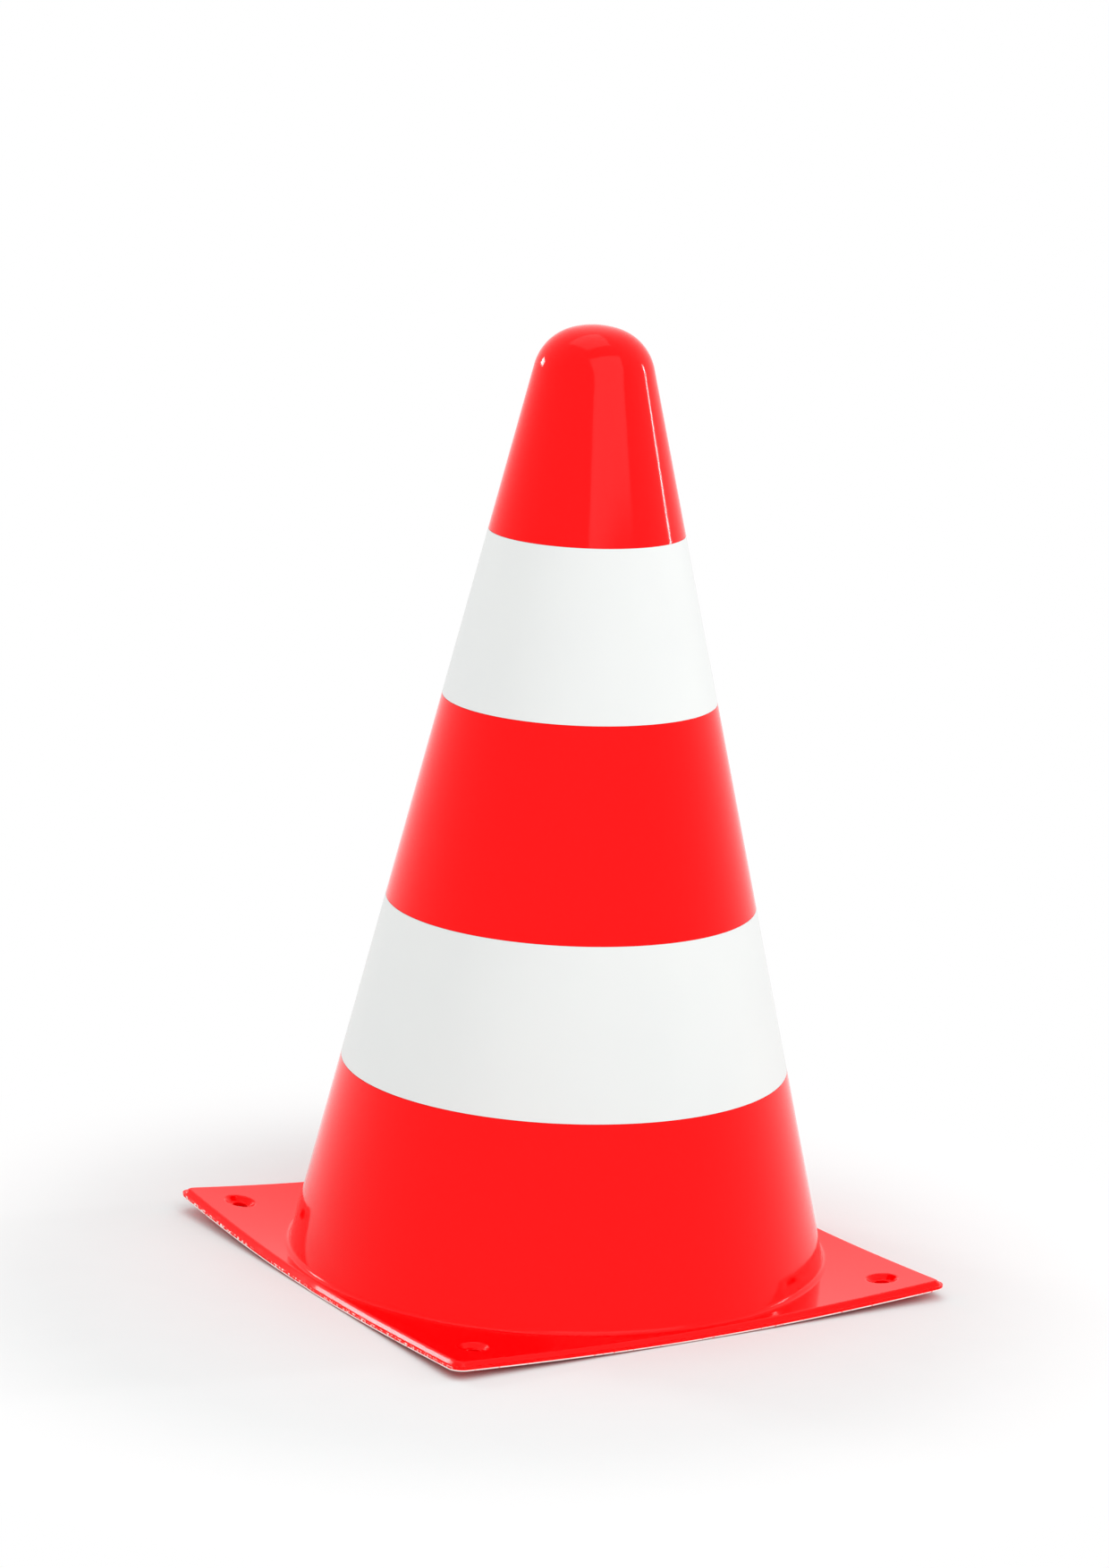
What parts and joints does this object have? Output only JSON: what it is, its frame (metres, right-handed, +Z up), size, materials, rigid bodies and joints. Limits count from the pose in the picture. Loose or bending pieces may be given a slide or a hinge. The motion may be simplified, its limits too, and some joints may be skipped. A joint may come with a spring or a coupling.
{
  "type": "traffic cone",
  "caption": "Tall hollow red cone with a rounded closed top, a square foot with corner screw holes, and flush white film bands around the wall.",
  "frame": {"origin": "centre of the square foot, on the surface that the cone stands on", "axes": "+Z up along the cone's axis; +X and +Y square to the sides of the foot"},
  "size_m": [0.3, 0.3, 0.5],
  "materials": {
    "red_plastic": "glossy moulded red plastic, its cut edge paler",
    "white_film": "satin white self-adhesive film"
  },
  "bodies": {
    "root": {"cone_shell": "red_plastic", "lower_white_band": "white_film", "upper_white_band": "white_film"}
  },
  "joints": []
}
